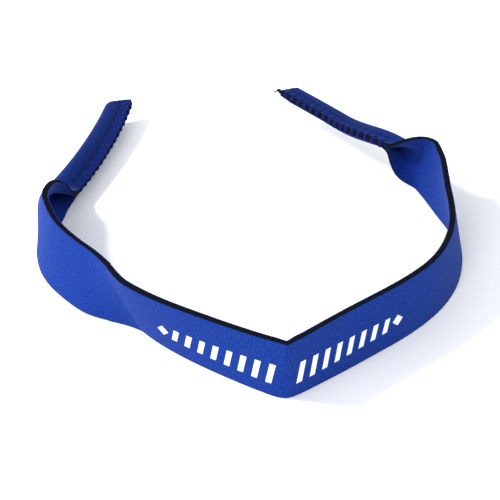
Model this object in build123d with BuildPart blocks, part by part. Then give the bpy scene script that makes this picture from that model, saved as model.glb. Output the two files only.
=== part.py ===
from build123d import *
import math
import os

os.makedirs("parts", exist_ok=True)

# ---- driving dimensions, mm and degrees ----
jersey_thickness = 0.30  # nylon knit face on each side of the foam
core_thickness = 1.70  # black foam rubber
ply_gap = 0.05  # glue line between two plies
jersey_inset = 0.10  # the knit stops this far short of the foam's cut edge
band_length = 157.5  # from the middle crease to the start of a sleeve seam
sleeve_length = 60.5
flex_from_crease = 100.0  # where a temple end is posed against the front
flex_gap = 0.80  # play between two bodies at a flex line
crease_x, crease_y = 12.6, -81.85  # where the crease stands, so the loop is centred on the origin
tip_slant = 6.0  # the seam side of a sleeve is this much longer than its fold
seam_bite = 3.8  # needle row to cut edge
fold_share = 0.42  # share of half the width that rolls round the sleeve's fold
fold_angle = 117.0  # how far the strip turns before the two walls close again
stitch_pitch = 3.6
thread_radius = 0.20
print_thickness = 0.06

tip = band_length + sleeve_length
half_thickness = core_thickness / 2 + ply_gap + jersey_thickness

# Width of the flat blank at distances from the crease.
width_at = [(0, 26.0), (71, 25.5), (118, 27.0), (band_length, 23.0), (tip, 22.5)]

# Plan heading of each half as it leaves the crease, and how far its top leans outward.
heading_at = {
    "right": [(0, 6), (4, 33), (12, 37), (39, 37), (58, 43), (79, 63), (98, 84), (117, 98),
              (137, 111), (157, 136), (177, 132), (196, 135), (tip, 137)],
    "left": [(0, -6), (4, 23), (12, 27), (39, 32), (58, 38), (79, 40), (98, 49), (117, 74),
             (137, 86), (157, 113), (177, 109), (196, 105), (tip, 99)],
}
lean_at = {
    "right": [(0, 0), (31, -4), (63, -4), (87, -8), (110, -12), (134, 4), (157, 20), (187, 26),
              (tip, 29)],
    "left": [(0, 0), (31, 5), (63, 11), (87, -14), (110, -12), (134, -8), (157, -14), (tip, 10)],
}
# Height of the sleeve's middle line, and where the flat band starts to roll up.
sleeve_height_at = {
    "right": [(125, 17.0), (band_length, 17.0), (187, 12.2), (tip, 12.6)],
    "left": [(125, 9.5), (band_length, 8.2), (187, 7.6), (tip, 7.0)],
}
curl_start = {"right": 141.0, "left": 122.0}
lift_start = {"right": 121.0, "left": 129.0}
side_sign = {"right": 1, "left": -1}


def eased(pairs, d):
    """Smooth value at distance d that never overshoots the given pairs."""
    if d <= pairs[0][0]:
        return pairs[0][1]
    if d >= pairs[-1][0]:
        return pairs[-1][1]
    slopes = [(b[1] - a[1]) / (b[0] - a[0]) for a, b in zip(pairs, pairs[1:])]
    tangents = [slopes[0]]
    for before, after in zip(slopes, slopes[1:]):
        same = before * after > 0
        tangents.append(2 * before * after / (before + after) if same else 0.0)
    tangents.append(slopes[-1])
    for i, (a, b) in enumerate(zip(pairs, pairs[1:])):
        if d <= b[0]:
            span = b[0] - a[0]
            t = (d - a[0]) / span
            return (
                (2 * t**3 - 3 * t**2 + 1) * a[1]
                + (t**3 - 2 * t**2 + t) * span * tangents[i]
                + (3 * t**2 - 2 * t**3) * b[1]
                + (t**3 - t**2) * span * tangents[i + 1]
            )


def smooth(x):
    x = min(max(x, 0.0), 1.0)
    return x * x * (3 - 2 * x)


def width(d):
    return eased(width_at, d)


def middle_height(side, d):
    """Height of the middle line: standing on the lower edge, then lifted into the sleeve."""
    lean = math.radians(eased(lean_at[side], d))
    standing = width(d) / 2 * math.cos(lean) + half_thickness * abs(math.sin(lean))
    lifted = eased(sleeve_height_at[side], d)
    share = smooth((d - lift_start[side]) / (band_length - lift_start[side]))
    return standing * (1 - share) + lifted * share


def place(side, d):
    """Plane of the cross-section at distance d: x inward across the strip, z along it."""
    x = y = 0.0
    steps = max(1, round(d))
    for i in range(steps):
        s = (i + 0.5) * d / steps
        slope = middle_height(side, s + 0.2) - middle_height(side, s - 0.2)
        level = math.sqrt(1 - min((slope / 0.4) ** 2, 0.8))
        heading = math.radians(eased(heading_at[side], s))
        x += math.cos(heading) * level * d / steps
        y += math.sin(heading) * level * d / steps
    sign = side_sign[side]
    heading = math.radians(eased(heading_at[side], d))
    lean = math.radians(eased(lean_at[side], d))
    slope = (middle_height(side, d + 0.2) - middle_height(side, d - 0.2)) / 0.4
    level = math.sqrt(1 - slope**2)
    run = Vector(sign * math.cos(heading) * level, math.sin(heading) * level, slope)
    inward = Vector(-sign * math.sin(heading), math.cos(heading), 0)
    up = (Vector(0, 0, 1) - run * slope).normalized()
    across = inward * math.cos(lean) + up * math.sin(lean)
    foot = (crease_x + sign * x, crease_y + y, middle_height(side, d))
    return Plane(origin=foot, x_dir=across, z_dir=run)


def turn(side, d, share):
    """How far the strip has turned from flat at a share (0 middle, 1 edge) of half its width."""
    curl = smooth((d - curl_start[side]) / (band_length - curl_start[side]))
    closed = math.radians(fold_angle)
    flat_from = 1 - seam_bite / (width(d) / 2)
    if share < fold_share:
        angle = closed * share / fold_share
    elif share < flat_from:
        back = (share - fold_share) / (flat_from - fold_share)
        angle = math.pi / 2 + (closed - math.pi / 2) * (1 + math.cos(math.pi * back)) / 2
    else:
        angle = math.pi / 2
    return curl * angle


def surface_points(side, d, depth, inset=0.0, count=8):
    """Points across the section, lower edge to upper edge, at a depth out from mid-thickness."""
    half = width(d) / 2
    upper = []
    x = z = 0.0
    steps = count * 6
    for i in range(steps + 1):
        share = i / steps * (half - inset) / half
        angle = turn(side, d, share)
        if i % 6 == 0:
            upper.append((x - depth * math.cos(angle), z + depth * math.sin(angle)))
        middle = turn(side, d, (i + 0.5) / steps * (half - inset) / half)
        x += math.sin(middle) * (half - inset) / steps
        z += math.cos(middle) * (half - inset) / steps
    lower = [(px, -pz) for px, pz in upper]
    return lower[:0:-1] + upper


def ply(side, stations, deep, shallow, inset=0.0):
    """One ply of the laminate, lofted through its cross-sections."""
    with BuildPart() as body:
        for d in stations:
            outer = surface_points(side, d, deep, inset)
            inner = surface_points(side, d, shallow, inset)
            with BuildSketch(place(side, d)):
                with BuildLine():
                    Spline(*outer)
                    Line(outer[-1], inner[-1])
                    Spline(*inner[::-1])
                    Line(inner[0], outer[0])
                make_face()
        loft(ruled=True)
    return body.part


front_stations = [flex_gap / 2, 1.2, 2, 3, 4, 6, 9, 14, 21, 28, 35, 42, 49, 56, 62, 68, 73, 78,
                  83, 88, 94, flex_from_crease - flex_gap / 2]
temple_stations = [flex_from_crease + flex_gap / 2, 105, 110, 115, 120, 125, 129, 133, 137, 140,
                   143, 146, 149, 152, 155, 158, 162, 166, 171, 176, 182, 188, 195, 202, 209, tip]
core_half = core_thickness / 2
plies = {
    "outer_jersey": (half_thickness, core_half + ply_gap, jersey_inset),
    "foam_core": (core_half, -core_half, 0.0),
    "inner_jersey": (-core_half - ply_gap, -half_thickness, jersey_inset),
}

# Each half is a front length and a temple length of the same three glued plies.
for side in ("left", "right"):
    end = place(side, tip)
    # The tip is trimmed on a slant, so the sewn side stays longer than the folded side.
    fold_to_edge = width(tip) / 2 - 2
    slant = math.atan2(tip_slant, fold_to_edge)
    trim = Plane(
        origin=end.from_local_coords((fold_to_edge, 0, 0)),
        x_dir=end.y_dir,
        z_dir=end.z_dir * math.cos(slant) - end.x_dir * math.sin(slant),
    )
    for name, (deep, shallow, inset) in plies.items():
        with BuildPart() as front:
            add(ply(side, front_stations, deep, shallow, inset))
        front.part.label = f"{side}_front_{name}"
        export_step(front.part, f"parts/{side}_front_{name}.step")

        with BuildPart() as temple:
            add(ply(side, temple_stations, deep, shallow, inset))
            split(bisect_by=trim, keep=Keep.BOTTOM)
        temple.part.label = f"{side}_temple_{name}"
        export_step(temple.part, f"parts/{side}_temple_{name}.step")

# Overedge seam: a needle row on the upper wall, and loops of thread round the two cut edges.
stitch_count = int((sleeve_length - 2.5) / stitch_pitch)
wall = half_thickness + thread_radius + 0.14
for side in ("left", "right"):
    up = 1 if side == "right" else -1
    with BuildPart() as needle_thread:
        for i in range(stitch_count):
            d = band_length + 2.0 + stitch_pitch * i
            edge = surface_points(side, d, 0.0)[-1]
            top = edge[1] + wall
            with BuildSketch(place(side, d)):
                with Locations((edge[0] - seam_bite + 0.3, up * top)):
                    Circle(thread_radius)
            extrude(amount=stitch_pitch - 1.0)
    needle_thread.part.label = f"{side}_needle_thread"
    export_step(needle_thread.part, f"parts/{side}_needle_thread.step")

    with BuildPart() as looper_thread:
        for i in range(stitch_count):
            d = band_length + 2.0 + stitch_pitch * (i - 0.12)
            edge = surface_points(side, d, 0.0)[-1]
            top = edge[1] + wall
            inner_end, outer_end = edge[0] - seam_bite + 0.3, edge[0] + thread_radius + 0.15
            section = place(side, d)
            with BuildLine(section) as loop:
                FilletPolyline(
                    (inner_end, top), (outer_end, top), (outer_end, -top), (inner_end, -top),
                    radius=0.35,
                )
            start = Plane(
                origin=section.from_local_coords((inner_end, top, 0)), z_dir=section.x_dir
            )
            with BuildSketch(start):
                Circle(thread_radius)
            sweep(path=loop.wires()[0])
    looper_thread.part.label = f"{side}_looper_thread"
    export_step(looper_thread.part, f"parts/{side}_looper_thread.step")

# Cut end of the right seam's thread: a short tail with a knot.
tail_side = place("right", tip - 0.3)
tail_edge = surface_points("right", tip, 0.0)[-1]
with BuildPart() as thread_tail:
    with BuildSketch(tail_side.offset(0.6)):
        with Locations((tail_edge[0] - 1.2, 0)):
            Circle(0.7)
    extrude(amount=2.2)
    fillet(thread_tail.edges(), radius=0.5)
thread_tail.part.label = "right_thread_tail"
export_step(thread_tail.part, "parts/right_thread_tail.step")

# Plain printed motif across the crease: slanted bars of graded height and an end diamond.
bar_count = 8
bar_pitch = 5.4
for side in ("left", "right"):
    sign = side_sign[side]
    with BuildPart() as motif:
        for i in range(bar_count + 1):
            d = 5.0 + bar_pitch * i
            section = place(side, d)
            face = Plane(
                origin=section.from_local_coords((-half_thickness - ply_gap, 0, 0)),
                x_dir=section.z_dir * sign,
                z_dir=section.x_dir * -1,
            )
            tall = 4.6 - 0.25 * i
            lift = -2.4
            with BuildSketch(face):
                with BuildLine():
                    if i < bar_count:
                        Polyline(
                            (-1.9, lift - tall), (0.3, lift - tall), (1.9, lift + tall),
                            (-0.3, lift + tall), close=True,
                        )
                    else:
                        Polyline((-2.4, lift), (0, lift - 2.4), (2.4, lift), (0, lift + 2.4),
                                 close=True)
                make_face()
            extrude(amount=print_thickness)
    motif.part.label = f"{side}_printed_motif"
    export_step(motif.part, f"parts/{side}_printed_motif.step")
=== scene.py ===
import math
import random

import bpy
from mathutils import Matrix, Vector


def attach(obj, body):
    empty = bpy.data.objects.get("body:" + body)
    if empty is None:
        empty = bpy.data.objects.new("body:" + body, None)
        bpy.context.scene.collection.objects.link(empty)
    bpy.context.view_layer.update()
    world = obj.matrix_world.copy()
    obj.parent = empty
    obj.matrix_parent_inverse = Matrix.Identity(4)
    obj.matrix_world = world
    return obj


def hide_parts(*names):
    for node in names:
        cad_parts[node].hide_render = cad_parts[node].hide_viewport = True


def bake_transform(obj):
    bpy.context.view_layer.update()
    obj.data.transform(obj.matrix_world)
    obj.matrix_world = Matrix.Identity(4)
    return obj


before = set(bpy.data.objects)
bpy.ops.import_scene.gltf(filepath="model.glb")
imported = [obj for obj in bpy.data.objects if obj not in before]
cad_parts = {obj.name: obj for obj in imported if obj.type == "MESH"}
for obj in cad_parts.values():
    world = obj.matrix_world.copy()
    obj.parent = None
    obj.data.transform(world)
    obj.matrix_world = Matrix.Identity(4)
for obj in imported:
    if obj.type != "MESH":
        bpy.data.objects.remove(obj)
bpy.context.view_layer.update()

# ---- Viewpoint ----
# A long lens looks down at the open loop from in front of its crease.
bpy.ops.object.select_all(action="DESELECT")
view_angle = math.radians(40)
view_distance = 0.573
look_at = Vector((0.0004, -0.00405, 0))
step_back = Vector((0, -math.cos(view_angle), math.sin(view_angle))) * view_distance
bpy.ops.object.camera_add(location=look_at + step_back, rotation=(math.pi / 2 - view_angle, 0, 0))
camera = bpy.context.object
camera.name = "camera"
camera.data.lens = 107.6
bpy.context.scene.camera = camera

# ---- Floor and light ----
# A white table top, a lamp high on the left, a larger and softer one in front, and a pale room all
# round. Colours are shown plainly, without a film curve, so the strap's blue keeps its strength.
bpy.context.scene.view_settings.view_transform = "Standard"
bpy.ops.mesh.primitive_plane_add(size=6, location=(0, 0, -0.0001))
floor = bpy.context.object
floor.name = "floor"
floor_paint = bpy.data.materials.new("pale_table")
floor_paint.use_nodes = True
floor_shader = floor_paint.node_tree.nodes["Principled BSDF"]
floor_shader.inputs["Base Color"].default_value = (0.95, 0.95, 0.95, 1)
floor_shader.inputs["Roughness"].default_value = 0.9
floor_shader.inputs["Specular IOR Level"].default_value = 0.1
floor.data.materials.append(floor_paint)

for name, towards, watts, size in (
    ("key_lamp", (-0.80, 0.10, 0.85), 14, 0.20),
    ("front_lamp", (-0.45, -1.1, 0.50), 7, 0.5),
):
    bpy.ops.object.light_add(type="AREA", location=towards)
    lamp = bpy.context.object
    lamp.name = name
    lamp.data.energy = watts
    lamp.data.size = size
    lamp.rotation_euler = (-Vector(towards)).to_track_quat("-Z", "Y").to_euler()

world = bpy.data.worlds.new("studio")
world.use_nodes = True
world.node_tree.nodes["Background"].inputs["Color"].default_value = (0.93, 0.96, 1, 1)
world.node_tree.nodes["Background"].inputs["Strength"].default_value = 1.0
bpy.context.scene.world = world

# ---- Outer jersey ----
# The strap's printed face: fine nylon knit bonded to the foam. The laminate is die-cut flat,
# creased at its middle, and rolled at both ends until its two long edges meet in a sleeve.
# Sizes here are in millimetres along and across the flat strip, and become metres when bent.
half_thickness = 1.2
jersey_thickness = 0.20
foam_half = 0.95
band_length = 157.5  # crease to the start of a sleeve's seam
tip = 218.0  # crease to the end of a sleeve
tip_slant = {"right": 4.6, "left": 8.0}  # the seam side of a tip is this much longer
fold_share = 0.42  # share of the half width that bends round the fold of a sleeve
fold_angle = math.radians(117)
seam_bite = 3.8  # needle row to the cut edge
stitch_pitch = 3.6
stitch_count = 16
first_stitch = band_length + 2.0
seam_squeeze = 0.54  # share by which the thread flattens the foam at the edge
squeeze_ripple = 0.04
hole_depth, groove_depth = 0.46, 0.16
crease_reach = 4.0  # how far from its middle the crease is sharpened
kink_from_crease, kink_depth = 67.5, 1.1  # the left half's slanting fold
jersey_inset = 0.1  # the knit is trimmed this much inside the foam
jersey_round, foam_round = 0.06, 0.25
crease_at = Vector((12.6, -81.85, 0))
lift_start = {"right": 121.0, "left": 129.0}  # where a half begins to rise into its sleeve
# Pairs of distance from the crease and value: full width, heading and lean in degrees, height.
width_at = [(0, 26.0), (71, 25.5), (118, 27.0), (band_length, 23.0), (tip, 22.5)]
heading_at = {
    "right": [(0, 6), (4, 33), (12, 37), (39, 37), (58, 43), (79, 63), (98, 84), (117, 98),
              (137, 111), (157, 136), (177, 132), (196, 135), (tip, 137)],
    "left": [(0, -6), (4, 23), (12, 27), (39, 32), (58, 38), (79, 40), (98, 49), (117, 74),
             (137, 86), (157, 113), (177, 109), (196, 105), (tip, 99)],
}
lean_at = {
    "right": [(0, 0), (31, -4), (63, -4), (87, -8), (110, -12), (134, 4), (157, 20), (187, 26),
              (tip, 29)],
    "left": [(0, 0), (31, 5), (63, 11), (87, -14), (110, -12), (134, -8), (157, -14), (tip, 10)],
}
sleeve_height_at = {
    "right": [(125, 17.0), (band_length, 17.0), (187, 12.2), (tip, 12.6)],
    "left": [(125, 9.5), (band_length, 8.2), (187, 7.6), (tip, 7.0)],
}
curl_start = {"right": 141.0, "left": 122.0}  # where a half begins to roll up


def eased(pairs, d):
    """Smooth value at distance d that never overshoots the given pairs."""
    if d <= pairs[0][0]:
        return pairs[0][1]
    if d >= pairs[-1][0]:
        return pairs[-1][1]
    slopes = [(b[1] - a[1]) / (b[0] - a[0]) for a, b in zip(pairs, pairs[1:])]
    tangents = [slopes[0]]
    for before, after in zip(slopes, slopes[1:]):
        same = before * after > 0
        tangents.append(2 * before * after / (before + after) if same else 0.0)
    tangents.append(slopes[-1])
    for i, (a, b) in enumerate(zip(pairs, pairs[1:])):
        if d <= b[0]:
            span = b[0] - a[0]
            t = (d - a[0]) / span
            return (
                (2 * t**3 - 3 * t**2 + 1) * a[1]
                + (t**3 - 2 * t**2 + t) * span * tangents[i]
                + (3 * t**2 - 2 * t**3) * b[1]
                + (t**3 - t**2) * span * tangents[i + 1]
            )


def smooth(x):
    """Soft step from 0 to 1 as x goes from 0 to 1."""
    x = min(max(x, 0.0), 1.0)
    return x * x * (3 - 2 * x)


def half_width(d):
    return eased(width_at, d) / 2


def middle_height(side, d):
    """Height of the middle line: standing on the lower edge, then lifted into the sleeve."""
    lean = math.radians(eased(lean_at[side], d))
    standing = half_width(d) * math.cos(lean) + half_thickness * abs(math.sin(lean))
    share = smooth((d - lift_start[side]) / (band_length - lift_start[side]))
    return standing * (1 - share) + eased(sleeve_height_at[side], d) * share


# The strip's middle line, walked in half-millimetre steps from the crease to each tip.
middle_line = {}
for side, sign in (("left", -1), ("right", 1)):
    place = crease_at.copy()
    steps = []
    for i in range(int(tip * 2) + 4):
        d = i / 2
        heading = math.radians(eased(heading_at[side], d))
        lean = math.radians(eased(lean_at[side], d))
        slope = (middle_height(side, d + 0.2) - middle_height(side, d - 0.2)) / 0.4
        level = math.sqrt(1 - min(slope * slope, 0.8))
        run = Vector((sign * math.cos(heading) * level, math.sin(heading) * level, slope))
        inward = Vector((-sign * math.sin(heading), math.cos(heading), 0))
        up = (Vector((0, 0, 1)) - run * slope).normalized()
        across = inward * math.cos(lean) + up * math.sin(lean)
        upright = up * math.cos(lean) - inward * math.sin(lean)
        here = Vector((place.x, place.y, middle_height(side, d)))
        steps.append((here, across, upright))
        middle_heading = math.radians(eased(heading_at[side], d + 0.25))
        place.x += sign * math.cos(middle_heading) * level / 2
        place.y += math.sin(middle_heading) * level / 2
    middle_line[side] = steps

rolled = {}
half_steps = 60


def section(side, d):
    """The rolled half width at a distance d, in steps from middle to edge: x in, z up, turn."""
    key = (side, round(d, 3))
    if key not in rolled:
        curl = smooth((d - curl_start[side]) / (band_length - curl_start[side]))
        flat_from = 1 - seam_bite / half_width(d)
        x = z = 0.0
        rows = []
        for i in range(half_steps + 1):
            share = i / half_steps
            if share < fold_share:
                angle = fold_angle * share / fold_share
            elif share < flat_from:
                back = (share - fold_share) / (flat_from - fold_share)
                angle = math.pi / 2 + (fold_angle - math.pi / 2) * (1 + math.cos(math.pi * back)) / 2
            else:
                angle = math.pi / 2
            rows.append((x, z, curl * angle))
            x += math.sin(curl * angle) * half_width(d) / half_steps
            z += math.cos(curl * angle) * half_width(d) / half_steps
        rolled[key] = rows
    return rolled[key]


def seam_shape(d, from_edge):
    """Share by which the seam is squeezed, and the depth of the dimple a stitch pulls in."""
    closed = smooth((d - band_length + 4) / 5)
    along = (d - first_stitch) / stitch_pitch
    phase = along - round(along)
    on_seam = closed * smooth((tip + 1 - d) / 1)
    squeeze = seam_squeeze * on_seam * smooth((seam_bite + 1.5 - from_edge) / 4.5)
    squeeze += squeeze_ripple * on_seam * smooth((3.2 - from_edge) / 3) * math.cos(2 * math.pi * phase)
    hole = (phase * stitch_pitch / 0.55) ** 2 + ((from_edge - seam_bite) / 0.5) ** 2
    groove = math.exp(-(((from_edge - seam_bite) / 0.7) ** 2))
    dimple = on_seam * (hole_depth * math.exp(-hole) + groove_depth * groove)
    return squeeze, dimple


def on_strap(s, y, depth):
    """Place in metres of a point s along and y across the flat strip, depth out from its middle."""
    side = "right" if s >= 0 else "left"
    d = abs(s)
    steps = middle_line[side]
    i = min(int(d * 2), len(steps) - 2)
    t = d * 2 - i
    here, across, upright = (steps[i][k].lerp(steps[i + 1][k], t) for k in range(3))
    share = min(abs(y) / half_width(d), 1.0) * half_steps
    rows = section(side, d)
    j = min(int(share), half_steps - 1)
    u = share - j
    x, z, angle = (rows[j][k] * (1 - u) + rows[j + 1][k] * u for k in range(3))
    squeeze, dimple = seam_shape(d, half_width(d) - abs(y)) if d > band_length - 6 else (0, 0)
    if depth > 0:
        depth -= dimple * min(depth / foam_half, 1)
    x -= depth * math.cos(angle)
    z = (z + depth * math.sin(angle)) * (1 - squeeze)
    if d < crease_reach:
        # The moulded crease is sharp at its top and rounds off towards its bottom.
        x -= (0.15 + 1.0 * smooth(y / 20 + 0.6)) * (1 - d / crease_reach) ** 2
    if side == "left":
        # Where the standing band meets the wide lobe, the strip has kinked inward along a
        # slanting line, sharp at its lower edge and soft at its upper one.
        off = d - kink_from_crease - y / 2
        softness = 0.4 + 2.2 * smooth(y / 26 + 0.5)
        x += kink_depth * math.exp(-math.sqrt(off * off + softness**2) / 6)
    return (here + across * x + upright * (z if y >= 0 else -z)) / 1000


def cut_ply(name, start, stop, inner_depth, outer_depth, inset, edge_round):
    """Cuts one ply flat between two distances along the strip, and gives it its thickness."""
    bpy.ops.object.select_all(action="DESELECT")
    along = 2 * int(abs(stop - start) / 1.2)  # an even count puts one row of corners on the crease
    bpy.ops.mesh.primitive_grid_add(x_subdivisions=along, y_subdivisions=38, size=2)
    blank = bpy.context.object
    blank.name = name
    for corner in blank.data.vertices:
        s = start + (stop - start) * (corner.co.x + 1) / 2
        near_tip = smooth((abs(s) - tip + 14) / 14)
        # The tip is cut on a slant, longer at the seam, with its corner rounded off.
        rounding = 1.1 * smooth((abs(corner.co.y) - 0.86) / 0.14) ** 2
        slant = tip_slant["right" if s >= 0 else "left"] * (1 - abs(corner.co.y))
        s -= math.copysign(near_tip * (slant + rounding), s)
        y = corner.co.y * (half_width(abs(s)) - inset)
        corner.co = Vector((s, y, inner_depth))
    bpy.ops.object.mode_set(mode="EDIT")
    bpy.ops.mesh.select_all(action="SELECT")
    bpy.ops.mesh.extrude_region_move(
        TRANSFORM_OT_translate={"value": (0, 0, outer_depth - inner_depth)}
    )
    bpy.ops.mesh.select_all(action="SELECT")
    bpy.ops.mesh.normals_make_consistent(inside=False)
    bpy.ops.mesh.select_all(action="DESELECT")
    bpy.ops.mesh.edges_select_sharp(sharpness=math.radians(60))
    bpy.ops.mesh.bevel(offset=edge_round, segments=2, affect="EDGES")
    bpy.ops.object.mode_set(mode="OBJECT")
    return blank


def bend_ply(blank):
    """Lays the flat pattern down as UVs, then folds the blank into the strap's standing shape."""
    flat = blank.data.uv_layers.active.data
    for loop in blank.data.loops:
        corner = blank.data.vertices[loop.vertex_index].co
        flat[loop.index].uv = (corner.x / 100, corner.y / 100)
    pull = blank.data.attributes.new("stitch_pull", "FLOAT", "POINT").data
    for corner in blank.data.vertices:
        s, y, depth = corner.co
        d = abs(s)
        if d > band_length - 6 and depth > 0:
            pull[corner.index].value = min(seam_shape(d, half_width(d) - abs(y))[1] / 0.5, 1)
        corner.co = on_strap(s, y, depth)
    bpy.context.view_layer.objects.active = blank
    blank.select_set(True)
    bpy.ops.object.shade_smooth_by_angle(angle=math.radians(50))
    return blank


# Each ply is made in three lengths, split either side of the crease: start, stop, the two bodies it
# spans, and where the bend between them begins and ends.
lengths = {
    "left": (-tip, -50.0, "left_front", "left_temple", (-86, -114)),
    "front": (-50.0, 50.0, "left_front", "right_front", (-3, 3)),
    "right": (50.0, tip, "right_front", "right_temple", (86, 114)),
}
covers = {
    "left": ["left_temple"],
    "front": ["left_front", "right_front"],
    "right": ["right_temple"],
}


def knit_relief():
    """Rows of tiny V loops, as raised height and as a light and dark mask."""
    group = bpy.data.node_groups.new("knit_relief", "ShaderNodeTree")
    face = group.interface
    face.new_socket("Flat", in_out="INPUT", socket_type="NodeSocketVector")
    face.new_socket("Loop Width", in_out="INPUT", socket_type="NodeSocketFloat")
    face.new_socket("Unevenness", in_out="INPUT", socket_type="NodeSocketFloat")
    face.new_socket("Height", in_out="OUTPUT", socket_type="NodeSocketFloat")
    face.new_socket("Mottle", in_out="OUTPUT", socket_type="NodeSocketFloat")
    nodes, links = group.nodes, group.links
    given = nodes.new("NodeGroupInput")
    result = nodes.new("NodeGroupOutput")
    split = nodes.new("ShaderNodeSeparateXYZ")
    links.new(given.outputs["Flat"], split.inputs[0])

    def sum_up(kind, a, b=None):
        node = nodes.new("ShaderNodeMath")
        node.operation = kind
        for socket, value in zip(node.inputs, (a, b)):
            if isinstance(value, (int, float)):
                socket.default_value = value
            elif value is not None:
                links.new(value, socket)
        return node.outputs[0]

    wobble = nodes.new("ShaderNodeTexNoise")
    wobble.inputs["Scale"].default_value = 60
    wobble.inputs["Detail"].default_value = 2
    links.new(given.outputs["Flat"], wobble.inputs["Vector"])
    drift = sum_up("MULTIPLY", sum_up("SUBTRACT", wobble.outputs["Fac"], 0.5),
                   given.outputs["Unevenness"])
    wale = sum_up("ADD", sum_up("DIVIDE", split.outputs["Y"], given.outputs["Loop Width"]), drift)
    zigzag = sum_up("PINGPONG", wale, 0.5)
    course = sum_up("ADD", sum_up("DIVIDE", split.outputs["X"], given.outputs["Loop Width"]),
                    sum_up("MULTIPLY", zigzag, 1.3))
    across = sum_up("COSINE", sum_up("MULTIPLY", course, 2 * math.pi))
    column = sum_up("COSINE", sum_up("MULTIPLY", wale, 4 * math.pi))
    height = sum_up("ADD", sum_up("MULTIPLY", across, 0.3), sum_up("MULTIPLY", column, -0.2))
    cloud = nodes.new("ShaderNodeTexNoise")
    cloud.inputs["Scale"].default_value = 150
    cloud.inputs["Detail"].default_value = 4
    cloud.inputs["Roughness"].default_value = 0.6
    links.new(given.outputs["Flat"], cloud.inputs["Vector"])
    links.new(sum_up("ADD", height, 0.5), result.inputs["Height"])
    links.new(cloud.outputs["Fac"], result.inputs["Mottle"])
    return group


knit_group = knit_relief()


def jersey_material(name, deep, bright):
    """Matt knit: painted shade between the loops and painted light on their backs, with softly uneven
    colour.
    """
    cloth = bpy.data.materials.new(name)
    cloth.use_nodes = True
    nodes, links = cloth.node_tree.nodes, cloth.node_tree.links
    shader = nodes["Principled BSDF"]
    flat = nodes.new("ShaderNodeUVMap")
    knit = nodes.new("ShaderNodeGroup")
    knit.node_tree = knit_group
    knit.inputs["Loop Width"].default_value = 0.0055
    knit.inputs["Unevenness"].default_value = 0.5
    links.new(flat.outputs["UV"], knit.inputs["Flat"])
    # Painted shade and light: the knit's height darkens the colour between the loops and lightens it on
    # their backs; the cloudy mottle adds softly uneven colour.
    dye_and_loop_shade = nodes.new("ShaderNodeMix")
    dye_and_loop_shade.data_type = "RGBA"
    dye_and_loop_shade.inputs["A"].default_value = (*deep, 1)
    dye_and_loop_shade.inputs["B"].default_value = (*bright, 1)
    loop_shade_and_mottle = nodes.new("ShaderNodeMath")
    loop_shade_and_mottle.operation = "MULTIPLY_ADD"
    links.new(knit.outputs["Height"], loop_shade_and_mottle.inputs[0])
    loop_shade_and_mottle.inputs[1].default_value = 0.50
    soft = nodes.new("ShaderNodeMapRange")
    soft.inputs["From Min"].default_value = 0.35
    soft.inputs["From Max"].default_value = 0.65
    soft.inputs["To Min"].default_value = -0.3
    soft.inputs["To Max"].default_value = 0.8
    links.new(knit.outputs["Mottle"], soft.inputs["Value"])
    links.new(soft.outputs["Result"], loop_shade_and_mottle.inputs[2])
    links.new(loop_shade_and_mottle.outputs[0], dye_and_loop_shade.inputs["Factor"])
    # Painted shade: the colour darkens towards the sleeves and along them, standing in for the dimmer
    # light they get.
    apart = nodes.new("ShaderNodeSeparateXYZ")
    links.new(flat.outputs["UV"], apart.inputs[0])
    distance = nodes.new("ShaderNodeMath")
    distance.operation = "ABSOLUTE"
    links.new(apart.outputs["X"], distance.inputs[0])
    sleeve_shade_mask = nodes.new("ShaderNodeMapRange")
    sleeve_shade_mask.interpolation_type = "SMOOTHSTEP"
    sleeve_shade_mask.inputs["From Min"].default_value = 1.25
    sleeve_shade_mask.inputs["From Max"].default_value = 1.75
    sleeve_shade_mask.inputs["To Max"].default_value = 0.75
    links.new(distance.outputs[0], sleeve_shade_mask.inputs["Value"])
    painted_sleeve_shade = nodes.new("ShaderNodeMix")
    painted_sleeve_shade.data_type = "RGBA"
    painted_sleeve_shade.inputs["B"].default_value = (*[channel * 0.45 for channel in deep], 1)
    links.new(sleeve_shade_mask.outputs["Result"], painted_sleeve_shade.inputs["Factor"])
    links.new(dye_and_loop_shade.outputs["Result"], painted_sleeve_shade.inputs["A"])
    # Little light reaches the bottom of a stitch hole.
    pull = nodes.new("ShaderNodeAttribute")
    pull.attribute_name = "stitch_pull"
    shaded = nodes.new("ShaderNodeMix")
    shaded.data_type = "RGBA"
    shaded.inputs["B"].default_value = (0.001, 0.002, 0.015, 1)
    links.new(pull.outputs["Fac"], shaded.inputs["Factor"])
    links.new(painted_sleeve_shade.outputs["Result"], shaded.inputs["A"])
    links.new(shaded.outputs["Result"], shader.inputs["Base Color"])
    bump = nodes.new("ShaderNodeBump")
    bump.inputs["Strength"].default_value = 0.5
    bump.inputs["Distance"].default_value = 0.00012
    links.new(knit.outputs["Height"], bump.inputs["Height"])
    links.new(bump.outputs["Normal"], shader.inputs["Normal"])
    rough = nodes.new("ShaderNodeMapRange")
    rough.inputs["To Min"].default_value = 0.95
    rough.inputs["To Max"].default_value = 0.78
    links.new(knit.outputs["Height"], rough.inputs["Value"])
    links.new(rough.outputs["Result"], shader.inputs["Roughness"])
    shader.inputs["Specular IOR Level"].default_value = 0.08
    shader.inputs["Sheen Weight"].default_value = 0.10
    shader.inputs["Sheen Roughness"].default_value = 0.4
    shader.inputs["Sheen Tint"].default_value = (0.45, 0.6, 1, 1)
    return cloth


outer_cloth = jersey_material("outer_jersey_knit", (0.002, 0.015, 0.135), (0.006, 0.042, 0.29))


def dress(ply, part, kind, material, turn):
    """Material for one length of a ply, with the parts of the model that it covers hidden."""
    ply.data.materials.append(material)
    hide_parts(*[f"{body}_{kind}" for body in covers[part]])
    on_strap(turn[0], 0, 0)
    on_strap(turn[1], 0, 0)
    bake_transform(ply)


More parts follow.
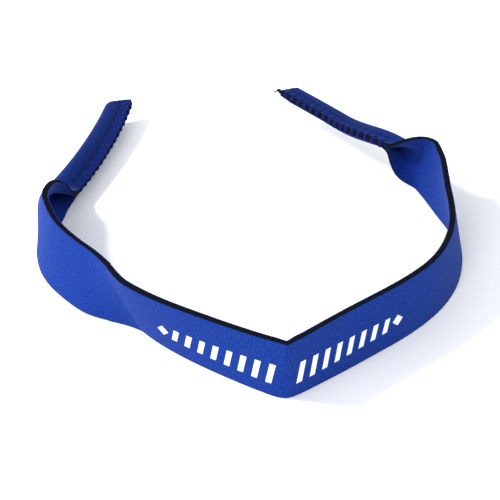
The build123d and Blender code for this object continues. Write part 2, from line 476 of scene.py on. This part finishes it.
for part, (start, stop, body_a, body_b, turn) in lengths.items():
    blank = cut_ply(f"{part}_outer_jersey", start, stop, half_thickness - jersey_thickness,
                    half_thickness, jersey_inset, jersey_round)
    dress(bend_ply(blank), part, "outer_jersey", outer_cloth, turn)

# ---- Foam core ----
# Closed-cell black foam rubber. Only its die-cut edge shows, all round the strip, and the cut
# has opened the cells, so it is dull and faintly pitted.
foam = bpy.data.materials.new("cut_black_foam")
foam.use_nodes = True
foam_nodes, foam_links = foam.node_tree.nodes, foam.node_tree.links
foam_shader = foam_nodes["Principled BSDF"]
where = foam_nodes.new("ShaderNodeTexCoord")
cells = foam_nodes.new("ShaderNodeTexVoronoi")
cells.inputs["Scale"].default_value = 3200
foam_links.new(where.outputs["Object"], cells.inputs["Vector"])
shade = foam_nodes.new("ShaderNodeMix")
shade.data_type = "RGBA"
shade.inputs["A"].default_value = (0.001, 0.001, 0.002, 1)
shade.inputs["B"].default_value = (0.006, 0.007, 0.009, 1)
foam_links.new(cells.outputs["Distance"], shade.inputs["Factor"])
foam_links.new(shade.outputs["Result"], foam_shader.inputs["Base Color"])
pits = foam_nodes.new("ShaderNodeBump")
pits.inputs["Strength"].default_value = 0.6
pits.inputs["Distance"].default_value = 0.0001
foam_links.new(cells.outputs["Distance"], pits.inputs["Height"])
foam_links.new(pits.outputs["Normal"], foam_shader.inputs["Normal"])
foam_shader.inputs["Roughness"].default_value = 0.92
foam_shader.inputs["Specular IOR Level"].default_value = 0.04

for part, (start, stop, body_a, body_b, turn) in lengths.items():
    blank = cut_ply(f"{part}_foam_core", start, stop, -foam_half, foam_half, 0.0, foam_round)
    dress(bend_ply(blank), part, "foam_core", foam, turn)

# ---- Inner jersey ----
# The same knit, bonded to the other face of the foam, where it touches the neck. It is a shade
# darker than the outer one, and it lines the sleeves.
inner_cloth = jersey_material("inner_jersey_knit", (0.002, 0.013, 0.125), (0.005, 0.035, 0.265))
for part, (start, stop, body_a, body_b, turn) in lengths.items():
    blank = cut_ply(f"{part}_inner_jersey", start, stop, -half_thickness,
                    jersey_thickness - half_thickness, jersey_inset, jersey_round)
    dress(bend_ply(blank), part, "inner_jersey", inner_cloth, turn)

# ---- Seam threads ----
# Each sleeve is closed by an overedge seam in thick bulked thread: a straight needle row, and
# looper strands that fan from each needle hole and wrap over both cut edges.


def thread_material(name, deep, bright, detail, fuzziness, roughness, gloss):
    """Twisted fibre: fine light and dark flecks, and the fuzz that goes with them."""
    yarn = bpy.data.materials.new(name)
    yarn.use_nodes = True
    nodes, links = yarn.node_tree.nodes, yarn.node_tree.links
    shader = nodes["Principled BSDF"]
    where = nodes.new("ShaderNodeTexCoord")
    fibre = nodes.new("ShaderNodeTexNoise")
    fibre.inputs["Scale"].default_value = 2600
    fibre.inputs["Detail"].default_value = detail
    links.new(where.outputs["Object"], fibre.inputs["Vector"])
    tone = nodes.new("ShaderNodeMix")
    tone.data_type = "RGBA"
    tone.inputs["A"].default_value = (*deep, 1)
    tone.inputs["B"].default_value = (*bright, 1)
    links.new(fibre.outputs["Fac"], tone.inputs["Factor"])
    links.new(tone.outputs["Result"], shader.inputs["Base Color"])
    fuzz = nodes.new("ShaderNodeBump")
    fuzz.inputs["Strength"].default_value = fuzziness
    fuzz.inputs["Distance"].default_value = 0.0001
    links.new(fibre.outputs["Fac"], fuzz.inputs["Height"])
    links.new(fuzz.outputs["Normal"], shader.inputs["Normal"])
    shader.inputs["Roughness"].default_value = roughness
    shader.inputs["Specular IOR Level"].default_value = gloss
    return yarn


seam_thread = thread_material(
    "seam_thread", (0.001, 0.005, 0.07), (0.003, 0.018, 0.20),
    detail=3, fuzziness=0.5, roughness=0.75, gloss=0.15,
)
strand_radius = 0.17
needle_radius = 0.16
settle = random.Random(11)


def lay_strands(name, paths, radius, material):
    """Thread laid along each path, as round strands in one mesh."""
    line = bpy.data.curves.new(name, "CURVE")
    line.dimensions = "3D"
    line.bevel_depth = radius / 1000
    line.bevel_resolution = 2
    line.resolution_u = 3
    line.use_fill_caps = True
    for path in paths:
        spline = line.splines.new("NURBS")
        spline.points.add(len(path) - 1)
        for point, place in zip(spline.points, path):
            point.co = (*place, 1)
        spline.order_u = 3
        spline.use_endpoint_u = True
    strands = bpy.data.objects.new(name, line)
    bpy.context.collection.objects.link(strands)
    bpy.ops.object.select_all(action="DESELECT")
    strands.select_set(True)
    bpy.context.view_layer.objects.active = strands
    bpy.ops.object.convert(target="MESH")
    strands = bpy.context.object
    strands.data.materials.append(material)
    bpy.ops.object.shade_smooth()
    return strands


for side, sign in (("left", -1), ("right", 1)):
    wraps = []
    needles = []
    for i in range(stitch_count):
        hole = first_stitch + stitch_pitch * i
        edge = half_width(hole)
        for fan in (-0.42, 0.0, 0.42):
            lean_over = 0.5 + fan + settle.uniform(-0.08, 0.08)
            out = half_thickness + strand_radius * 0.7
            d_edge = sign * (hole + lean_over)
            d_hole = sign * (hole + fan * 0.35)
            rim = half_width(hole + lean_over)
            upper = [
                on_strap(d_hole, edge - seam_bite, out - 0.45),
                on_strap(d_hole, edge - seam_bite + 0.35, out + 0.05),
                on_strap((d_hole + d_edge) / 2, edge - seam_bite / 2, out + 0.06),
                on_strap(d_edge, rim - 0.5, out + 0.06),
            ]
            lower = [
                on_strap(d_edge, -rim + 0.5, out + 0.06),
                on_strap((d_hole + d_edge) / 2, -edge + seam_bite / 2, out + 0.06),
                on_strap(d_hole, -edge + seam_bite - 0.35, out + 0.05),
                on_strap(d_hole, -edge + seam_bite, out - 0.45),
            ]
            over = (upper[3] - upper[2]).normalized() * 0.00062
            middle = (upper[3] + lower[0]) / 2
            wraps.append(
                upper
                + [upper[3] + over, upper[3].lerp(middle, 0.4) + over,
                   lower[0].lerp(middle, 0.4) + over, lower[0] + over]
                + lower
            )
        if i:
            before = hole - stitch_pitch
            needles.append([
                on_strap(sign * (before + 0.1), edge - seam_bite, half_thickness - 0.3),
                on_strap(sign * (before + 0.5), edge - seam_bite, half_thickness + 0.12),
                on_strap(sign * (before + stitch_pitch / 2), edge - seam_bite, half_thickness + 0.2),
                on_strap(sign * (hole - 0.5), edge - seam_bite, half_thickness + 0.12),
                on_strap(sign * (hole - 0.1), edge - seam_bite, half_thickness - 0.3),
            ])
    looper = lay_strands(f"{side}_looper_strands", wraps, strand_radius, seam_thread)
    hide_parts(f"{side}_looper_thread")
    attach(looper, f"{side}_temple")
    needle = lay_strands(f"{side}_needle_row", needles, needle_radius, seam_thread)
    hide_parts(f"{side}_needle_thread")
    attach(needle, f"{side}_temple")

# ---- Thread end ----
# The right seam's cut thread ends in a small black knot with two short stubs.
dark_thread = thread_material(
    "dark_thread", (0.001, 0.001, 0.002), (0.008, 0.008, 0.014),
    detail=2, fuzziness=1, roughness=0.8, gloss=0.1,
)
knot_radius = 0.27
knot_at = on_strap(tip + 0.3, half_width(tip) - 0.6, -half_thickness)
wind = []
for i in range(40):
    angle = i * 0.62
    swell = 0.00085 * math.sin(math.pi * (i + 1) / 41)
    wind.append(knot_at + Vector((
        swell * math.cos(angle) - 0.00003 * i + 0.0006,
        swell * math.sin(angle) + 0.00003 * i - 0.0006,
        swell * math.cos(angle * 0.7),
    )))
stubs = [
    [on_strap(tip - 4.5, half_width(tip) - 0.8, -half_thickness),
     on_strap(tip - 2, half_width(tip) - 0.8, -half_thickness), knot_at],
    [knot_at, knot_at + Vector((-0.0012, 0.0008, -0.0004)), knot_at + Vector((-0.0022, 0.001, -0.0013))],
    [knot_at, knot_at + Vector((-0.0006, 0.0013, -0.0005)), knot_at + Vector((-0.0009, 0.0024, -0.001))],
]
knot = lay_strands("thread_knot", [wind] + stubs, knot_radius, dark_thread)
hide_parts("right_thread_tail")
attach(knot, "right_temple")

# ---- Printed motif ----
# A plain pattern of slanted bars with a diamond at each end, screen printed in white ink a few
# hundredths of a millimetre thick, across the crease on the outer face.
ink = bpy.data.materials.new("white_ink")
ink.use_nodes = True
ink_nodes, ink_links = ink.node_tree.nodes, ink.node_tree.links
ink_shader = ink_nodes["Principled BSDF"]
ink_flat = ink_nodes.new("ShaderNodeUVMap")
ink_knit = ink_nodes.new("ShaderNodeGroup")
ink_knit.node_tree = knit_group
ink_knit.inputs["Loop Width"].default_value = 0.0055
ink_knit.inputs["Unevenness"].default_value = 0.5
ink_links.new(ink_flat.outputs["UV"], ink_knit.inputs["Flat"])
ink_tone = ink_nodes.new("ShaderNodeMix")
ink_tone.data_type = "RGBA"
ink_tone.inputs["A"].default_value = (0.62, 0.66, 0.78, 1)
ink_tone.inputs["B"].default_value = (0.9, 0.91, 0.93, 1)
ink_links.new(ink_knit.outputs["Height"], ink_tone.inputs["Factor"])
ink_links.new(ink_tone.outputs["Result"], ink_shader.inputs["Base Color"])
ink_bump = ink_nodes.new("ShaderNodeBump")
ink_bump.inputs["Strength"].default_value = 0.3
ink_bump.inputs["Distance"].default_value = 0.0001
ink_links.new(ink_knit.outputs["Height"], ink_bump.inputs["Height"])
ink_links.new(ink_bump.outputs["Normal"], ink_shader.inputs["Normal"])
ink_shader.inputs["Roughness"].default_value = 0.6

marks = []
for sign in (-1, 1):
    for i in range(9):
        bpy.ops.object.select_all(action="DESELECT")
        bpy.ops.mesh.primitive_grid_add(x_subdivisions=6, y_subdivisions=14, size=2)
        mark = bpy.context.object
        tall = 4.6 - 0.25 * i
        for corner in mark.data.vertices:
            a, b = corner.co.x, corner.co.y
            if i < 8:
                s, y = a * 1.1 + b * 0.8, b * tall
            else:
                s, y = (a + b) * 1.2, (b - a) * 1.2
            corner.co = Vector((sign * 5.0 + sign * 5.4 * i + s, y - 2.4, half_thickness + 0.02))
        bpy.ops.object.mode_set(mode="EDIT")
        bpy.ops.mesh.select_all(action="SELECT")
        bpy.ops.mesh.extrude_region_move(TRANSFORM_OT_translate={"value": (0, 0, 0.06)})
        bpy.ops.mesh.select_all(action="SELECT")
        bpy.ops.mesh.normals_make_consistent(inside=False)
        bpy.ops.object.mode_set(mode="OBJECT")
        marks.append(mark)
bpy.ops.object.select_all(action="DESELECT")
for mark in marks:
    mark.select_set(True)
bpy.context.view_layer.objects.active = marks[0]
bpy.ops.object.join()
motif = bpy.context.object
motif.name = "printed_motif"
bend_ply(motif)
motif.data.materials.append(ink)
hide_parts("left_printed_motif", "right_printed_motif")
on_strap(-3, 0, 0)
on_strap(3, 0, 0)
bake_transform(motif)
